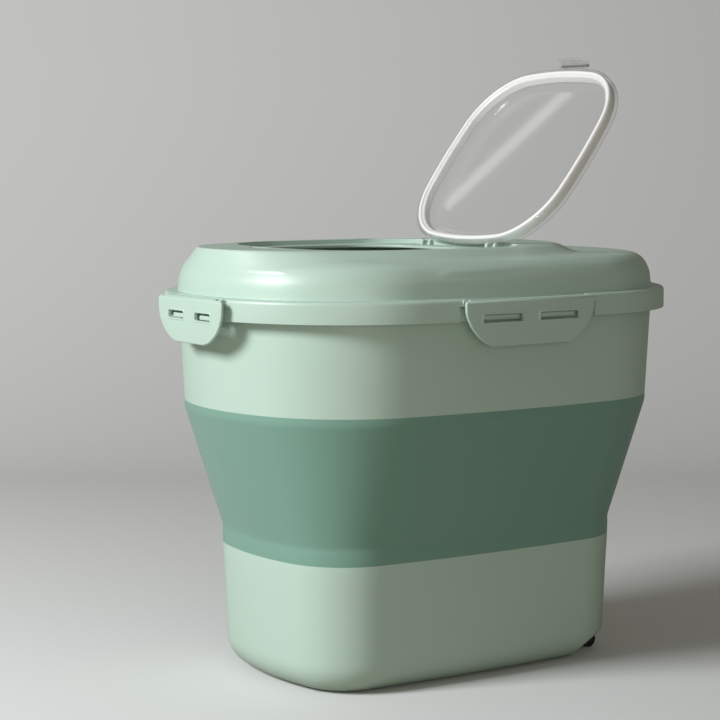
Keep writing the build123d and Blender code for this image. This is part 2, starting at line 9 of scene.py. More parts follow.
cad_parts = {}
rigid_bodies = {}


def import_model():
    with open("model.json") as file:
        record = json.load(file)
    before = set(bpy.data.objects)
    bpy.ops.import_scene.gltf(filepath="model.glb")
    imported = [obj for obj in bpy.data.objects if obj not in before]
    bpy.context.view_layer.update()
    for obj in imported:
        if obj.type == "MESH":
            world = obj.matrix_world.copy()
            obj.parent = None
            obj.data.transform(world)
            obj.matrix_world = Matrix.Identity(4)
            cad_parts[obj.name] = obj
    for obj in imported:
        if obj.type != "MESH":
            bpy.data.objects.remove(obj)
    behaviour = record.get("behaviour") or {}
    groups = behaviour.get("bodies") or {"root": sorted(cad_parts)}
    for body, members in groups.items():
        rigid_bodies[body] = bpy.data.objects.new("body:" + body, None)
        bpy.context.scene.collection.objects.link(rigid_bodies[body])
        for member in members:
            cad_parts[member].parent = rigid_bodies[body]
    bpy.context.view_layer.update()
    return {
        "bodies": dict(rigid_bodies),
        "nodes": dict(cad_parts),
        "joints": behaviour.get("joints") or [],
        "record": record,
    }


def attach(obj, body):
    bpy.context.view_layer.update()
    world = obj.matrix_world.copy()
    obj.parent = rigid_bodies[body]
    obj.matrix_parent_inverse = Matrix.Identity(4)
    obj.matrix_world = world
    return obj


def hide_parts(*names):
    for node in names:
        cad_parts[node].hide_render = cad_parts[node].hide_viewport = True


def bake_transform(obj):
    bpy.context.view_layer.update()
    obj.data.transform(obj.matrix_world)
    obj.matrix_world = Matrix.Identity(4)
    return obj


# Sizes are in millimetres in the part's own frame: floor at z 0, +X to the wheel end, +Y to the left long side
MM = 0.001

# Plan outlines: half length, half width, corner radius, bow of the ends, bow of the long sides
RIM = (200.0, 140.0, 118.5, 4.6, 4.0)
BASE_LOW = (146.2, 89.8, 51.2, 3.7, 3.2)
BASE_TOP = (149.7, 92.8, 54.7, 3.7, 3.2)
NECK_LOW = (182.4, 123.8, 93.7, 4.6, 4.0)
NECK_TOP = (186.2, 127.6, 97.5, 4.6, 4.0)
MOUND_LOW = (161.9, 125.7, 104.2, 4.6, 4.0)
MOUND_TOP = (146.8, 99.8, 80.0, 3.0, 14.0)
COVER = (85.0, 90.5, 56.5, 2.0, 1.2)
RECESS = (95.85, 91.8, 57.8, 2.0, 1.2)
FOOT_RECESS = (108.2, 57.8, 16.0, 3.7, 3.2)

# Places along X of the outlines that aren't centred
MOUND_LOW_X = -23.8
MOUND_TOP_X = -35.1
COVER_X = -47.9
RECESS_X = -38.35
FOOT_X = -8.0

# Heights
SEAM_GAP = 0.02
FLOOR_TOP = 3.0
BASE_SEAM = 96.3
COLLAR_TOP = 107.0
CONE_FOOT = 109.4
CONE_HEAD = 201.3
NECK_FOOT = 201.8
NECK_SEAM = 206.6
LIP_FOOT = 273.8
FLANGE_TOP = 283.5
RIM_BOTTOM = 273.5
LEDGE_TOP = 289.6
MOUND_LOW_Z = 308.5
MOUND_TOP_Z = 323.1
SEAT_Z = 319.4
TROUGH_Z = 317.4
SEAL_PLANE = 319.7
COVER_FOOT = 320.5
COVER_TOP = 331.7

# Base: its rounded foot, the recess under it, the strip under the seam and the tongue inside the band's collar
FOOT_R = 24.0
FOOT_DEPTH = 1.0
FOOT_TAPER = 0.8
BASE_WALL = 2.6
BASE_STRIP = 4.0
TONGUE_IN = 1.5
TONGUE_ROOM_IN = 3.1
FLOOR_IN = 44.0

# Facets at the wheel end of the base, each a point and an outward normal, and how far the cuts of skin and room are
# moved in from them: the end facet's first, then the corners'
END_FACET = ((122.0, 0, 0), (0.9, 0, -1.0))
CORNER_FACET = ((108.0, 58.0, 0), (0.5, 0.62, -0.9))
SKIN_LIFT = (-3.0, -0.8)
ROOM_LIFT = (3.0, 3.0)

# Band: insets of its inner faces, and the swell of its collar
COLLAR_SWELL = 0.15
COLLAR_IN = 1.55
STRIP_IN = 1.5
BAND_WALL = 2.0
CONE_STEPS = 22

# Upper frame: insets of its walls and its drip lip, and the catch lugs
NECK_TONGUE_IN = 1.8
NECK_WALL = 3.2
FLANGE_T = 3.0
LIP_OUTER = 3.7
LIP_INNER = 6.0
LUG_H = 3.2
LUG_DEEP = 5.4
LUG_GAP = 0.2
LUG_SIDE = 2.4

# Lid: wall thicknesses, and insets of the scoop opening and of the inner side
RIM_WALL = 2.5
SEAT_T = 2.5
PLATFORM_T = 2.6
CROWN_T = 2.8
OPENING_IN = 12.5
LID_ROOM = ((301.6, 14.9), (296.6, 13.5), (LEDGE_TOP - RIM_WALL, 12.5), (LEDGE_TOP - RIM_WALL, RIM_WALL))

# Crown: inset from the rim and height, where its steep side ends, and how softly the platform grows out of it
CROWN = ((9.9, LEDGE_TOP), (10.9, 299.0), (12.3, 304.0), (15.2, 309.5), (19.0, 313.0), (24.0, 315.3), (32.0, 316.2))
CROWN_SIDE_Z = 292.0
CROWN_SIDE_IN = 12.4
SHOULDER_IN = 12.6
CROWN_BLEND = 2.4
PLATFORM_BLEND = 1.6
PLATFORM_DROP = 8

# Hinge of the flip cover, its knuckles, and the clip's ears and slot, which has room in front, behind, beside and below
HINGE_X = 38.5
HINGE_Z = 321.75
HINGE_R = 2.0
TROUGH_FRONT = 42.5
COVER_OPEN = 127.1
KNUCKLE_Y = 42.5
KNUCKLE_W = 6.0
CHEEK_W = 3.2
SIDE_GAP = 0.4
CLIP_X = -142.4
CLIP_Z = 329.4
CLIP_HALF = 12.8
CLIP_SLOT = (3.0, 2.4, 0.6, 10.2)
EAR_W = 3.0
EAR_R = 2.5
ARM_SHORT = 0.1

# Flip cover, and the seal after its lip: height, inset and corner radius, down the outside and back up the inside
PANEL_Z = COVER_TOP + 0.7
PANEL_UNDER = COVER_TOP - 1.1
SEAL_TOP = COVER_TOP - 4.0
COVER_PROFILE = (
    (PANEL_Z, 50.0, 0), (PANEL_Z, 16.6, 0), (PANEL_Z, 14.6, 0.5), (COVER_TOP, 4.4, 2.0), (COVER_TOP - 1.0, 1.4, 1.2),
    (COVER_TOP - 3.0, 0.3, 0.8), (COVER_FOOT, 0.0, 0.5), (COVER_FOOT, 2.2, 0.5), (COVER_TOP - 4.0, 2.4, 0.6),
    (COVER_TOP - 2.2, 4.6, 0.3), (COVER_TOP - 2.2, 5.0, 0.2), (SEAL_PLANE + 3.0, 5.0, 0.3),
    (SEAL_PLANE + 3.0, 6.8, 0.3), (COVER_TOP - 2.6, 6.8, 0.8), (COVER_TOP - 2.4, 12.6, 0.5),
    (PANEL_UNDER, 14.0, 0.5), (PANEL_UNDER, 16.0, 0), (PANEL_UNDER, 50.0, 0),
)
SEAL_PROFILE = (
    (SEAL_PLANE + 2.5, 7.4, 0.8), (SEAL_TOP, 8.6, 0.8), (SEAL_TOP, 6.85, 0),
    (SEAL_PLANE + 2.95, 6.85, 0), (SEAL_PLANE + 2.95, 4.95, 0), (SEAL_TOP, 4.95, 0),
)
SEAL_LIP_IN = 2.5
SEAL_LIP_R = 1.5
SEAL_LIP_DROP = 1.6

# Latches: half width of barrel and notch, slot place and width, corner radius, lug foot, edge as half width and drop
SIDE_LATCH = {
    "barrel": 54.0, "notch": 61.5, "slot": 25.7, "slot_w": 35.5, "corner": 2.2, "lug": -0.9,
    "edge": ((58.3, 5.8), (57.9, 10.3), (55.7, 15.7), (52.3, 21.1), (47.2, 26.7), (41.4, 31.0), (35.0, 33.9)),
}
END_LATCH = {
    "barrel": 36.0, "notch": 46.5, "slot": 19.3, "slot_w": 21.7, "corner": 3.8, "lug": -2.3,
    "edge": (
        (46.3, 6.3), (45.6, 12.3), (43.8, 17.3), (40.8, 22.0), (36.3, 26.5), (31.0, 30.0), (25.8, 32.4), (20.0, 33.9),
    ),
}
LATCH_PROUD = 1.5
LATCH_T = 2.3
LATCH_BACK = LATCH_T - LATCH_PROUD
LATCH_AXIS_INSET = 3.4
LATCH_AXIS_Z = 287.2
LATCH_BARREL_R = 2.1
LATCH_BORE_R = 0.95
LATCH_TOP = 289.3
LATCH_TOP_R = 3.0
LATCH_EDGE_R = 1.1
LATCH_BACK_R = 0.5
LATCH_CLEAR_R = 3.4
LATCH_END_Z = 288.5
BROW_IN = 1.2
SLOT_H = 5.5
SLOT_Z = 275.5
SLOT_R = 0.9
SLOT_GROW = 0.2

# Raised bead round each latch slot: how far out from the slot, and height over the latch's face
BEAD = (
    (1.7, -0.3), (1.4, 0.02), (1.15, 0.26), (0.8, 0.38), (0.4, 0.36), (0.1, 0.18),
    (0, -0.15), (0, -LATCH_T), (0.5, -LATCH_T),
)

# Latch notches in the lid: room round the barrel, backs and top of the steps, and the cheeks that hold the pin
BARREL_ROOM = 0.9
NOTCH_BACK = 2.2
NOTCH_DEPTH = 5.0
NOTCH_DROP = 2.9
NOTCH_OUT = 20.0
LATCH_CHEEK = 4.5

# Wheels
WHEEL_X = 130.4
WHEEL_R = 6.3
WHEEL_INNER = 45.3
WELL_R = 7.0
WELL_WALL = 2.4
WELL_END = 6.5
WELL_OUT = 90.0
WELL_FOOT = -5.0

# Points along each arc of an outline
LONG_STEPS = 18
CORNER_STEPS = 26
SHORT_STEPS = 12

# Angles in degrees: edges under the first are shaded smooth, edges over the second are rounded on small pieces
SMOOTH_UNDER = 38.0
SHARP_OVER = 50.0

# Colours, linear
SAGE = (0.472, 0.608, 0.515)
TEAL = (0.180, 0.335, 0.262)
SILICONE = (0.90, 0.875, 0.84)
CLEAR = (0.88, 0.93, 0.92)
BLACK = (0.012, 0.012, 0.013)
STEEL = (0.62, 0.62, 0.61)
STUDIO = (0.76, 0.76, 0.74)
STUDIO_DIM = (0.40, 0.38, 0.33)
COOL = (0.93, 0.96, 1.0)
WARM = (1.0, 0.96, 0.86)
ROOM_LIGHT = (1.0, 0.98, 0.92)

# Camera: place in metres, tilt and heading in degrees, lens in millimetres
CAMERA_PLACE = (-0.9264, -1.3104, 0.3902)
CAMERA_TILT = 84.39
CAMERA_HEADING = -33.66
CAMERA_LENS = 104.22

# Studio paper in metres: half width, start and radius of its sweep, near edge and top
PAPER_HALF = 5.0
SWEEP_START = 0.9
SWEEP_R = 0.7
PAPER_NEAR = -4.0
PAPER_TOP = 5.0


# An outline at a height is seven numbers: half length, half width, corner radius, two bows, x of the middle, z
def level(o, z, d=0.0, x=0.0):
    return np.array([o[0] - d, o[1] - d, o[2] - d, o[3], o[4], x, z], float)


def arc_centres(row):
    a, b, r, sx, sy = row[:5]
    kx, ky = a - r - sx, b - r - sy
    end_r = (ky * ky + sx * sx) / (2 * sx) + r
    side_r = (kx * kx + sy * sy) / (2 * sy) + r
    return (kx, ky), (a - end_r, end_r), (b - side_r, side_r)


def arc(cx, cy, radius, start, end, steps):
    turn = np.linspace(start, end, steps, endpoint=False)
    return np.stack([cx + radius * np.cos(turn), cy + radius * np.sin(turn)], 1)


def outline(row):
    """Points round one outline, anticlockwise from the middle of the +X end."""
    (kx, ky), (cx, end_r), (cy, side_r) = arc_centres(row)
    end_turn = math.atan2(ky, kx - cx)
    side_turn = math.atan2(ky - cy, kx)
    quarter = np.concatenate([
        arc(cx, 0, end_r, 0, end_turn, SHORT_STEPS),
        arc(kx, ky, row[2], end_turn, side_turn, CORNER_STEPS),
        arc(0, cy, side_r, side_turn, math.pi / 2, LONG_STEPS),
    ])
    left = np.concatenate([[(0, row[1])], (quarter * (-1, 1))[:0:-1]])
    half = np.concatenate([quarter, left])
    flat = np.concatenate([half, -half])
    return np.column_stack([flat[:, 0] + row[5], flat[:, 1], np.full(len(flat), row[6])])


def outside(row, x, y):
    """Signed distance from points to an outline, positive outside. The outline's numbers may differ point by point."""
    (kx, ky), (cx, end_r), (cy, side_r) = arc_centres(row)
    x, y = np.abs(x - row[5]), np.abs(y)
    at_end = np.arctan2(y, x - cx) < np.arctan2(ky, kx - cx)
    at_side = np.arctan2(y - cy, x) > np.arctan2(ky - cy, kx)
    end = np.hypot(x - cx, y) - end_r
    side = np.hypot(x, y - cy) - side_r
    corner = np.hypot(x - kx, y - ky) - row[2]
    return np.where(at_end, end, np.where(at_side, side, corner))


def rounded(profile, closed=False, steps=4):
    """A profile of (level, radius) pairs with each corner rounded by about that radius."""
    rows = [row for row, _ in profile]
    made = []
    for i, (row, radius) in enumerate(profile):
        if radius == 0 or (not closed and i in (0, len(profile) - 1)):
            made.append(row)
            continue
        before, after = rows[i - 1], rows[(i + 1) % len(rows)]
        start = row + (before - row) * min(0.5, radius / span(before, row))
        end = row + (after - row) * min(0.5, radius / span(after, row))
        for u in np.linspace(0, 1, steps + 1):
            made.append((1 - u) ** 2 * start + 2 * u * (1 - u) * row + u * u * end)
    return made


def span(p, q):
    return math.hypot(max(abs(p[0] - q[0]), abs(p[1] - q[1])), p[6] - q[6])


def part_way(low, high, t):
    return low * (1 - t) + high * t


def between(low, high, steps):
    return [low + (high - low) * t for t in np.linspace(0, 1, steps + 1)[1:-1]]


# Meshes
def new_object(name, points, faces):
    mesh = bpy.data.meshes.new(name)
    mesh.from_pydata((np.asarray(points) * MM).tolist(), [], faces)
    obj = bpy.data.objects.new(name, mesh)
    bpy.context.scene.collection.objects.link(obj)
    tidy_normals(mesh)
    return obj


def tidy_normals(mesh):
    bm = bmesh.new()
    bm.from_mesh(mesh)
    bmesh.ops.recalc_face_normals(bm, faces=bm.faces)
    bm.to_mesh(mesh)
    bm.free()


def shell(name, rings, capped=False):
    """A solid skin through rings of points: closed on itself, or capped at its first and last ring."""
    rings = [outline(r) if np.ndim(r) == 1 else r for r in rings]
    n = len(rings[0])
    faces = []
    for i in range(len(rings) - (1 if capped else 0)):
        low, high = i * n, (i + 1) % len(rings) * n
        faces += [(low + k, low + (k + 1) % n, high + (k + 1) % n, high + k) for k in range(n)]
    if capped:
        faces += [tuple(range(n)), tuple(range(len(rings) * n - n, len(rings) * n))]
    return new_object(name, np.concatenate(rings), faces)


def box(x0, x1, y0, y1, z0, z1):
    xs, ys, zs = sorted((x0, x1)), sorted((y0, y1)), sorted((z0, z1))
    points = [(x, y, z) for x in xs for y in ys for z in zs]
    faces = [(0, 1, 3, 2), (4, 6, 7, 5), (0, 4, 5, 1), (2, 3, 7, 6), (0, 2, 6, 4), (1, 5, 7, 3)]
    return new_object("box", points, faces)


def rod(start, end, radius, steps=32):
    start, end = Vector(start), Vector(end)
    turn = (end - start).to_track_quat("Z", "Y").to_matrix()
    turns = np.linspace(0, math.tau, steps, endpoint=False)
    circle = [turn @ Vector((radius * math.cos(t), radius * math.sin(t), 0)) for t in turns]
    rings = [np.array([p + c for c in circle]) for p in (start, end)]
    return shell("rod", rings, capped=True)


def beyond(point, normal, size=300.0, depth=80.0):
    """A block on the far side of a plane."""
    made = box(-size, size, -size, size, 0, depth)
    turn = Vector(normal).to_track_quat("Z", "Y").to_matrix().to_4x4()
    made.data.transform(Matrix.Translation(Vector(point) * MM) @ turn)
    return made


def bake(obj):
    mesh = bpy.data.meshes.new_from_object(obj.evaluated_get(bpy.context.evaluated_depsgraph_get()))
    obj.modifiers.clear()
    obj.data = mesh
    return obj


def combine(obj, others, operation):
    for other in others:
        modifier = obj.modifiers.new("shape", "BOOLEAN")
        modifier.operation = operation
        modifier.solver = "EXACT"
        modifier.object = other
        bake(obj)
        bpy.data.objects.remove(other)
    return obj


def cut(obj, others):
    return combine(obj, others, "DIFFERENCE")


def join(obj, others):
    bm = bmesh.new()
    for o in [obj, *others]:
        bm.from_mesh(o.data)
    bm.to_mesh(obj.data)
    bm.free()
    for o in others:
        bpy.data.objects.remove(o)
    return obj


def soften(obj, width, segments=3):
    """Rounds the sharp edges of a small piece."""
    modifier = obj.modifiers.new("edge", "BEVEL")
    modifier.width = width * MM
    modifier.segments = segments
    modifier.limit_method = "ANGLE"
    modifier.angle_limit = math.radians(SHARP_OVER)
    return bake(obj)


def dress(obj, material):
    obj.data.materials.clear()
    obj.data.materials.append(material)
    obj.data.shade_smooth()
    obj.data.set_sharp_from_angle(angle=math.radians(SMOOTH_UNDER))
    return obj


# Materials
def node_material(name):
    material = bpy.data.materials.new(name)
    material.use_nodes = True
    nodes, links = material.node_tree.nodes, material.node_tree.links
    return material, nodes, links, nodes["Principled BSDF"]


def noise(nodes, links, coords, scale, detail=2.0, roughness=0.5):
    made = nodes.new("ShaderNodeTexNoise")
    made.inputs["Scale"].default_value = scale
    made.inputs["Detail"].default_value = detail
    made.inputs["Roughness"].default_value = roughness
    links.new(coords, made.inputs["Vector"])
    return made.outputs["Fac"]


def ranged(nodes, links, value, low, high, start=0.0):
    """A value mapped from start-to-1 onto low-to-high."""
    made = nodes.new("ShaderNodeMapRange")
    made.inputs["From Min"].default_value = start
    made.inputs["To Min"].default_value = low
    made.inputs["To Max"].default_value = high
    links.new(value, made.inputs["Value"])
    return made.outputs["Result"]


def two_tone(nodes, links, skin, factor, first, second):
    tone = nodes.new("ShaderNodeMix")
    tone.data_type = "RGBA"
    tone.inputs["A"].default_value = (*first, 1)
    tone.inputs["B"].default_value = (*second, 1)
    links.new(factor, tone.inputs["Factor"])
    links.new(tone.outputs["Result"], skin.inputs["Base Color"])


def bumped(nodes, links, skin, height, strength, distance):
    bump = nodes.new("ShaderNodeBump")
    bump.inputs["Strength"].default_value = strength
    bump.inputs["Distance"].default_value = distance
    links.new(height, bump.inputs["Height"])
    links.new(bump.outputs["Normal"], skin.inputs["Normal"])


def mixed(nodes, links, factor, first, second):
    made = nodes.new("ShaderNodeMixShader")
    links.new(factor, made.inputs[0])
    links.new(first, made.inputs[1])
    links.new(second, made.inputs[2])
    return made.outputs["Shader"]


def moulded(name, colour, shade, roughness, spread, grain, depth, specular=0.5, sheen=0.0, glow=0.0):
    """Moulded plastic or rubber: fine grain in the surface, slow drift in tone and gloss."""
    material, nodes, links, skin = node_material(name)
    coords = nodes.new("ShaderNodeTexCoord").outputs["Object"]
    drift = noise(nodes, links, coords, scale=9.0, detail=3.0)
    two_tone(nodes, links, skin, drift, colour, [c * shade for c in colour])
    smear = noise(nodes, links, coords, scale=46.0, detail=4.0, roughness=0.6)
    links.new(ranged(nodes, links, smear, roughness - spread, roughness + spread), skin.inputs["Roughness"])
    fine = noise(nodes, links, coords, scale=grain, detail=3.0, roughness=0.65)
    bumped(nodes, links, skin, fine, strength=0.35, distance=depth)
    skin.inputs["Specular IOR Level"].default_value = specular
    skin.inputs["Sheen Weight"].default_value = sheen
    skin.inputs["Subsurface Weight"].default_value = glow
    skin.inputs["Subsurface Radius"].default_value = (1.0, 1.0, 1.0)
    skin.inputs["Subsurface Scale"].default_value = 0.005
    return material


def clear_plastic(name):
    """Clear plastic: a faint body, thicker where it is seen edge on, under a glossy face. Lamps shine through it."""
    material, nodes, links, body = node_material(name)
    coords = nodes.new("ShaderNodeTexCoord").outputs["Object"]
    body.inputs["Base Color"].default_value = (*CLEAR, 1)
    haze = noise(nodes, links, coords, scale=30.0, detail=3.0)
    links.new(ranged(nodes, links, haze, low=0.22, high=0.34), body.inputs["Roughness"])
    facing = nodes.new("ShaderNodeLayerWeight")
    facing.inputs["Blend"].default_value = 0.5
    edge_on = ranged(nodes, links, facing.outputs["Facing"], low=0.02, high=0.50, start=0.62)
    power = nodes.new("ShaderNodeMath")
    power.operation = "POWER"
    power.inputs[1].default_value = 5.0
    links.new(facing.outputs["Facing"], power.inputs[0])
    mirror = ranged(nodes, links, power.outputs["Value"], low=0.04, high=0.90)
    shine = nodes.new("ShaderNodeBsdfAnisotropic")
    shine.inputs["Roughness"].default_value = 0.035
    through = nodes.new("ShaderNodeBsdfTransparent").outputs["BSDF"]
    solid = mixed(nodes, links, edge_on, through, body.outputs["BSDF"])
    face = mixed(nodes, links, mirror, solid, shine.outputs["BSDF"])
    shadow = nodes.new("ShaderNodeLightPath").outputs["Is Shadow Ray"]
    links.new(mixed(nodes, links, shadow, face, through), nodes["Material Output"].inputs["Surface"])
    return material


def steel(name):
    material, nodes, links, skin = node_material(name)
    coords = nodes.new("ShaderNodeTexCoord").outputs["Object"]
    skin.inputs["Base Color"].default_value = (*STEEL, 1)
    skin.inputs["Metallic"].default_value = 1.0
    drawn = noise(nodes, links, coords, scale=700.0)
    links.new(ranged(nodes, links, drawn, low=0.24, high=0.42), skin.inputs["Roughness"])
    return material


# Base tub
def rounded_foot(radius, floor, shrink):
    turns = np.radians(np.linspace(0, 90, 11))
    return [level(BASE_LOW, floor + radius * (1 - math.cos(t)), shrink + radius * (1 - math.sin(t))) for t in turns]


def facet_cutters(lift):
    """Blocks beyond the facets, moved in from them by two lifts: the end facet's and the corners'."""
    made = []
    facets = ((END_FACET, 1, lift[0]), (CORNER_FACET, 1, lift[1]), (CORNER_FACET, -1, lift[1]))
    for (point, normal), s, back in facets:
        way = Vector((normal[0], s * normal[1], normal[2]))
        made.append(beyond(Vector((point[0], s * point[1], point[2])) - way.normalized() * back, way))
    return made


def wheel_well(s, radius, inner):
    return [
        rod((WHEEL_X, s * WELL_OUT, WHEEL_R), (WHEEL_X, s * inner, WHEEL_R), radius),
        box(WHEEL_X - radius, WHEEL_X + radius, s * WELL_OUT, s * inner, WELL_FOOT, WHEEL_R),
    ]


def make_base():
    strip = BASE_SEAM - BASE_STRIP
    outer = [level(FOOT_RECESS, FOOT_DEPTH, FOOT_TAPER, FOOT_X), level(FOOT_RECESS, 0, 0, FOOT_X)]
    outer += rounded_foot(FOOT_R, 0, 0)
    outer += between(outer[-1], level(BASE_TOP, BASE_SEAM), 5)
    outer += rounded([
        (level(BASE_TOP, strip), 0),
        (level(BASE_TOP, BASE_SEAM), 0),
        (level(BASE_TOP, BASE_SEAM, TONGUE_IN), 0),
        (level(BASE_TOP, COLLAR_TOP, TONGUE_IN), 0),
    ])
    tub = cut(shell("base_skin", outer, capped=True), facet_cutters(SKIN_LIFT))
    inner = [level(BASE_LOW, FLOOR_TOP, FLOOR_IN)] + rounded_foot(FOOT_R - BASE_WALL, FLOOR_TOP, BASE_WALL)
    inner += between(inner[-1], level(BASE_TOP, strip, BASE_WALL), 5)
    inner += [level(BASE_TOP, strip, BASE_WALL), level(BASE_TOP, BASE_SEAM, TONGUE_ROOM_IN)]
    inner.append(level(BASE_TOP, COLLAR_TOP + 1, TONGUE_ROOM_IN))
    cavity = cut(shell("base_room", inner, capped=True), facet_cutters(ROOM_LIFT))
    for s in (1, -1):
        cut(cavity, wheel_well(s, WELL_R + WELL_WALL, WHEEL_INNER - WELL_END))
    cut(tub, [cavity])
    for s in (1, -1):
        cut(tub, wheel_well(s, WELL_R, WHEEL_INNER))
    return tub


# Fold band: a collar that swells a little, a soft kink, the long cone and the strip under the frame
def make_band():
    foot, head = level(BASE_TOP, CONE_FOOT), level(NECK_LOW, CONE_HEAD)
    cone_low, cone_high = part_way(foot, head, 0.08), part_way(foot, head, 0.95)
    rows = rounded([
        (level(BASE_TOP, BASE_SEAM + SEAM_GAP), 0),
        (level(BASE_TOP, BASE_SEAM + 5.0, -COLLAR_SWELL), 3.0),
        (level(BASE_TOP, COLLAR_TOP - 1.5, -COLLAR_SWELL), 2.0),
        (foot, 2.6),
        (cone_low, 0),
    ])
    rows += between(cone_low, cone_high, CONE_STEPS)
    rows += rounded([
        (cone_high, 0),
        (head, 2.2),
        (level(NECK_LOW, NECK_SEAM - SEAM_GAP), 0),
        (level(NECK_LOW, NECK_SEAM - SEAM_GAP, STRIP_IN), 0),
        (level(NECK_LOW, CONE_HEAD + 0.3, STRIP_IN), 0),
        (level(NECK_LOW, CONE_HEAD, BAND_WALL), 0),
    ])
    low_in = level(BASE_TOP, CONE_FOOT + 0.6, BAND_WALL)
    rows += between(level(NECK_LOW, CONE_HEAD, BAND_WALL), low_in, CONE_STEPS)
    rows += [low_in, level(BASE_TOP, COLLAR_TOP, COLLAR_IN), level(BASE_TOP, BASE_SEAM + SEAM_GAP, COLLAR_IN)]
    return shell("fold_band_skin", rows)


# Upper frame with its flange, drip lip and catch lugs
def across(side, sign, d0, d1, t0, t1, z0, z1):
    """A block d0 to d1 out from the middle on one side of the rim, t0 to t1 along it."""
    if side:
        return box(t0, t1, sign * d0, sign * d1, z0, z1)
    return box(sign * d0, sign * d1, t0, t1, z0, z1)


def latch_spots():
    return ((END_LATCH, False, -1), (END_LATCH, False, 1), (SIDE_LATCH, True, -1), (SIDE_LATCH, True, 1))


def make_frame():
    low = level(NECK_LOW, NECK_SEAM + SEAM_GAP)
    high = level(NECK_TOP, FLANGE_TOP - FLANGE_T)
    wall_low, wall_high = part_way(low, high, 0.1), part_way(low, high, 0.96)
    rows = rounded([
        (level(NECK_LOW, NECK_FOOT, NECK_TONGUE_IN), 0),
        (level(NECK_LOW, NECK_SEAM + SEAM_GAP, NECK_TONGUE_IN), 0),
        (low, 0),
        (wall_low, 0),
    ])
    rows += between(wall_low, wall_high, 8)
    rows += rounded([
        (wall_high, 0),
        (high, 1.6),
        (level(RIM, FLANGE_TOP - FLANGE_T, LIP_INNER), 0.5),
        (level(RIM, LIP_FOOT, LIP_INNER), 0.5),
        (level(RIM, LIP_FOOT, LIP_OUTER), 0.5),
        (level(RIM, FLANGE_TOP, LIP_OUTER), 0.5),
        (level(NECK_TOP, FLANGE_TOP, NECK_WALL), 0.6),
        (level(NECK_LOW, NECK_SEAM, NECK_WALL), 0),
        (level(NECK_LOW, NECK_FOOT, NECK_WALL), 0),
    ])
    frame = shell("frame_skin", rows)
    lugs = []
    for kind, side, sign in latch_spots():
        tip = (RIM[1] if side else RIM[0]) - LATCH_BACK - LUG_GAP
        half = kind["slot_w"] / 2 - LUG_SIDE
        foot = SLOT_Z + kind["lug"]
        for s in (-1, 1):
            mid = s * kind["slot"]
            lug = across(side, sign, tip - LUG_DEEP, tip, mid - half, mid + half, foot, foot + LUG_H)
            lugs.append(soften(lug, 0.5))
    return join(frame, lugs)


# Main lid: one skin over rim, crown, platform and sunk seat, and back underneath
def smooth_curve(points, steps=8):
    """A smooth line through the points."""
    p = np.array([2 * np.array(points[0]) - points[1], *points, 2 * np.array(points[-1]) - points[-2]], float)
    made = []
    for i in range(1, len(p) - 2):
        for u in np.linspace(0, 1, steps, endpoint=False):
            c = 2 * p[i] + (p[i + 1] - p[i - 1]) * u
            c = c + (2 * p[i - 1] - 5 * p[i] + 4 * p[i + 1] - p[i + 2]) * u ** 2
            made.append((c + (3 * p[i] - p[i - 1] - 3 * p[i + 1] + p[i + 2]) * u ** 3) / 2)
    return np.array(made + [p[-2]])


CROWN_CURVE = smooth_curve(CROWN)


def softly_higher(a, b, k):
    """The higher of two heights, blended where they are within about k of each other."""
    h = np.clip(0.5 + 0.5 * (a - b) / k, 0, 1)
    return a * h + b * (1 - h) + k * h * (1 - h)


def platform_height(x, y):
    """Height of the platform and its slope, found by bisecting between its lower and upper outlines."""
    low, high = level(MOUND_LOW, 0, 0, MOUND_LOW_X), level(MOUND_TOP, 0, 0, MOUND_TOP_X)
    t0, t1 = np.full(len(x), -1.0), np.full(len(x), 1.2)
    for _ in range(22):
        t = (t0 + t1) / 2
        out = outside(low[:, None] + (high - low)[:, None] * t, x, y) > 0
        t0, t1 = np.where(out, t0, t), np.where(out, t, t1)
    rise = np.where(t < 0, t * PLATFORM_DROP, t) * (MOUND_TOP_Z - MOUND_LOW_Z) + MOUND_LOW_Z
    return -softly_higher(-rise, np.full(len(x), -MOUND_TOP_Z), PLATFORM_BLEND)


def lid_height(x, y):
    inset = -outside(level(RIM, 0), x, y)
    crown = np.interp(inset, CROWN_CURVE[:, 0], CROWN_CURVE[:, 1])
    return softly_higher(crown, platform_height(x, y), CROWN_BLEND)


def over_lid(row, drop=0.0):
    ring = outline(row)
    ring[:, 2] = lid_height(ring[:, 0], ring[:, 1]) - drop
    return ring


